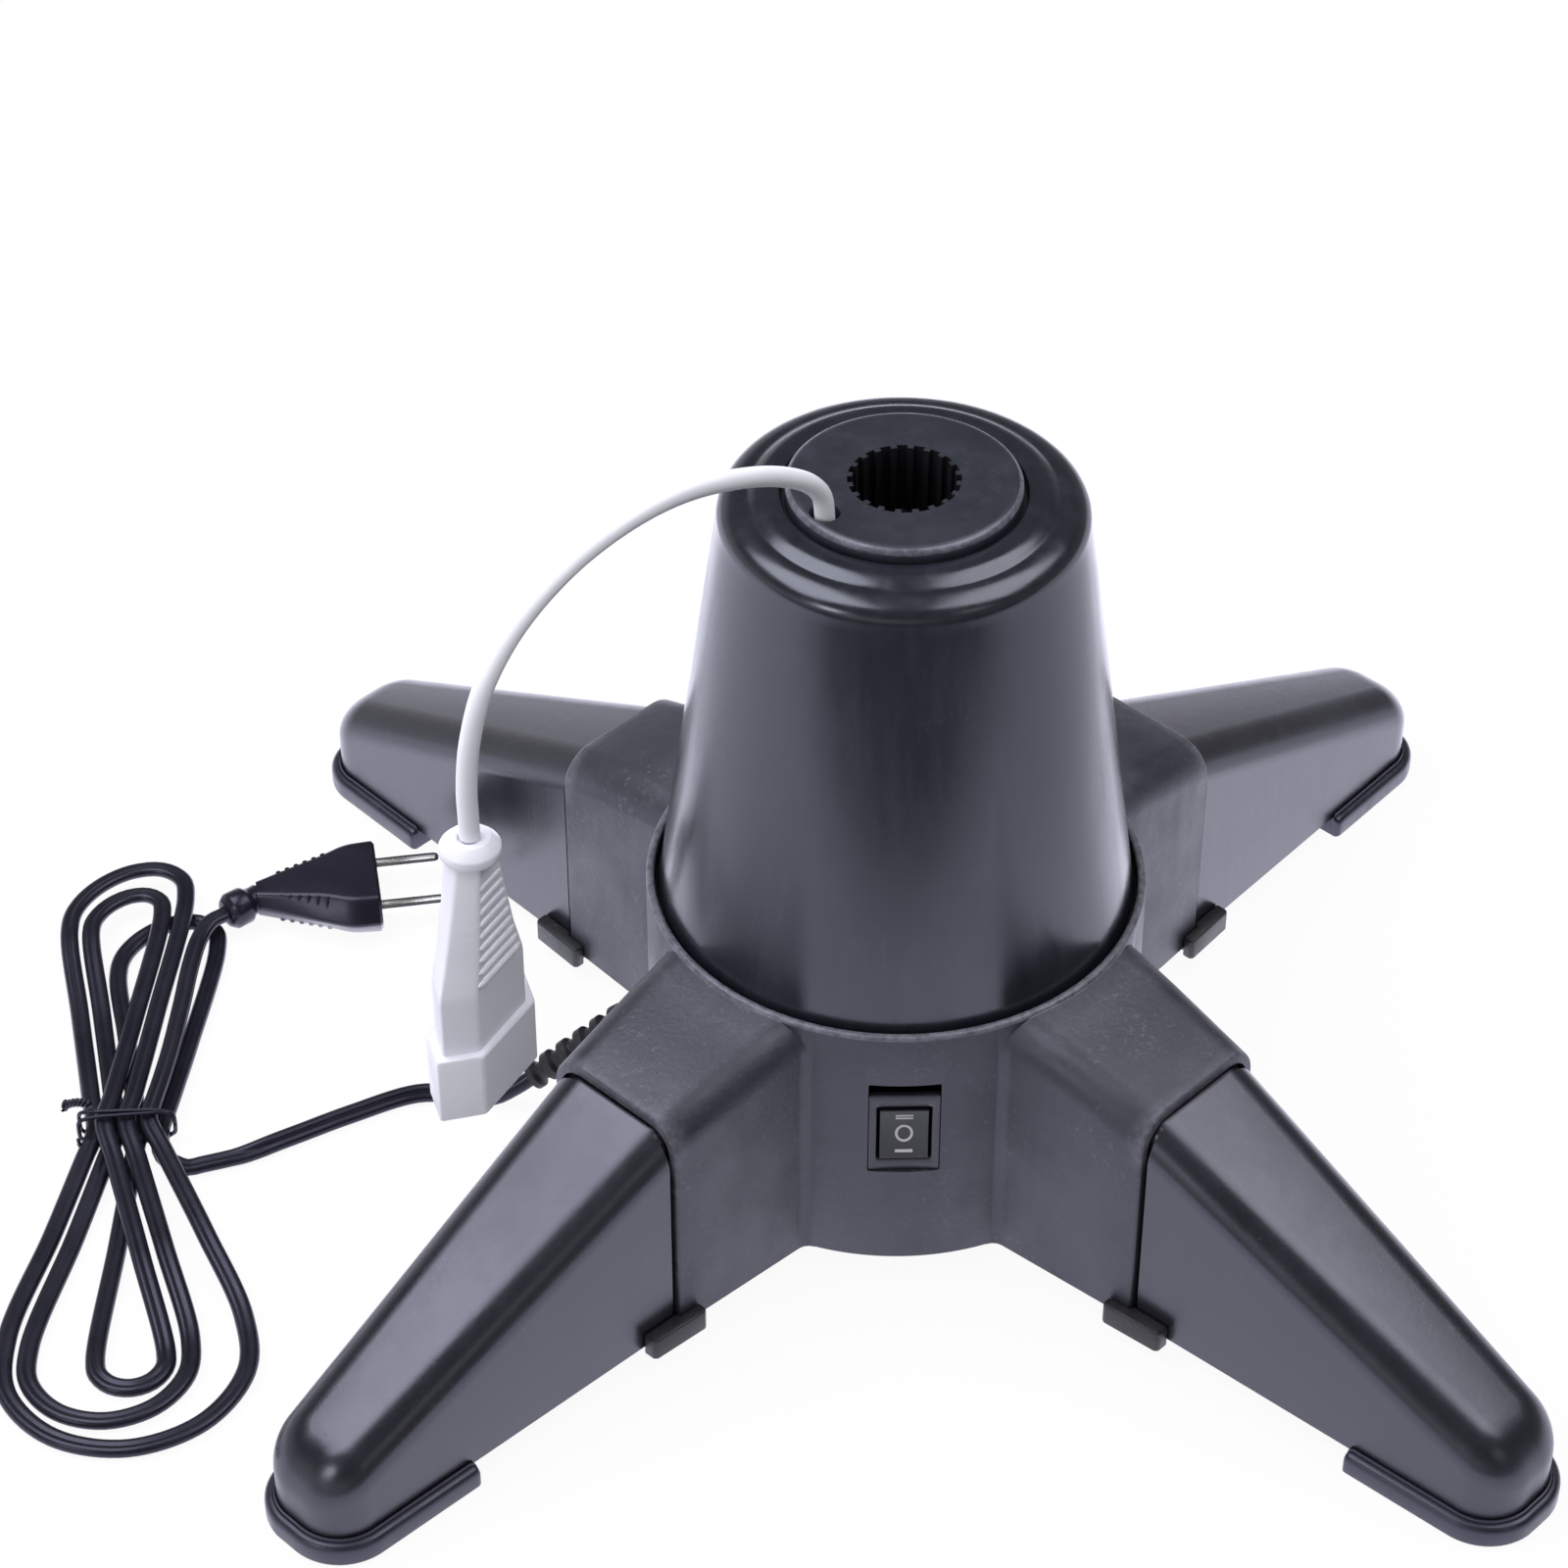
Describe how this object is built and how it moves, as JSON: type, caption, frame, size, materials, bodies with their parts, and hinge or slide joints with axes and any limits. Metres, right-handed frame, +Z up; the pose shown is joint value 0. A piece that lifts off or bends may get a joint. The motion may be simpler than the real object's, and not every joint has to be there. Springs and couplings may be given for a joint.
{
  "type": "rotating tree stand",
  "caption": "Rotating stand for an artificial tree: hub with plug-in legs, motor-driven cone with a fluted pole socket, outlet lead on top, switch and bundled mains lead.",
  "frame": {"origin": "on the floor, on the axis of the pole socket", "axes": "+Z up along the pole, the switch faces -Y, the legs lie on the diagonals"},
  "size_m": [0.4084, 0.3328, 0.2488],
  "materials": {
    "hub": "fine grained",
    "shell": "satin",
    "trim": "matte",
    "foot": "matte",
    "steel": "satin",
    "brass": "satin",
    "gear": "satin",
    "black_lead": "satin",
    "white_lead": "satin",
    "white_socket": "satin"
  },
  "bodies": {
    "base": {"hub_housing": "hub", "bottom_cover": "trim", "cover_screws": "steel", "motor_can": "steel", "motor_plate": "steel", "motor_screws": "steel", "bearing_bush": "brass", "race_lower": "steel", "brush_holder": "trim", "brushes": "brass", "switch_frame": "trim", "switch_terminals": "brass", "strain_relief": "trim", "supply_lead": "black_lead", "leg_front_left": "shell", "leg_front_right": "shell", "leg_rear_left": "shell", "leg_rear_right": "shell", "foot_front_left": "foot", "foot_front_right": "foot", "foot_rear_left": "foot", "foot_rear_right": "foot", "clip_front_left": "trim", "clip_front_right": "trim", "clip_rear_left": "trim", "clip_rear_right": "trim", "mains_lead": "black_lead", "mains_hank": "black_lead", "plug_lead": "black_lead", "twist_tie": "black_lead", "mains_plug": "trim", "plug_pins": "steel"},
    "rotor": {"rotor_cone": "shell", "rotor_cap": "shell", "pole_sleeve": "trim", "rotor_plate": "trim", "rotor_screws": "steel", "sleeve_screws": "steel", "drive_gear": "gear", "gear_screws": "steel", "slip_core": "trim", "slip_rings": "brass", "race_upper": "steel", "inner_lead": "white_lead", "outlet_cord": "white_lead", "outlet_socket": "white_socket", "outlet_contacts": "brass"},
    "bearing": {"bearing_cage": "gear", "bearing_balls": "steel"},
    "pinion": {"drive_pinion": "gear"},
    "rocker": {"switch_rocker": "trim"}
  },
  "joints": [
    {"name": "rotor_spin", "type": "hinge", "parent": "base", "child": "rotor", "pos_m": [0, 0, 0.08], "axis": [0, 0, 1], "continuous": true},
    {"name": "bearing_spin", "type": "hinge", "parent": "base", "child": "bearing", "pos_m": [0, 0, 0.0845], "axis": [0, 0, 1], "continuous": true},
    {"name": "pinion_spin", "type": "hinge", "parent": "base", "child": "pinion", "pos_m": [0, 0.039, 0.066], "axis": [0, 0, 1], "continuous": true},
    {"name": "switch_tilt", "type": "hinge", "parent": "base", "child": "rocker", "pos_m": [0, -0.0644, 0.0526], "axis": [1, 0, 0], "range_deg": [-11, 11]}
  ],
  "couplings": [
    {"joint": "bearing_spin", "follows": "rotor_spin", "ratio": 0.5},
    {"joint": "pinion_spin", "follows": "rotor_spin", "ratio": -3}
  ]
}
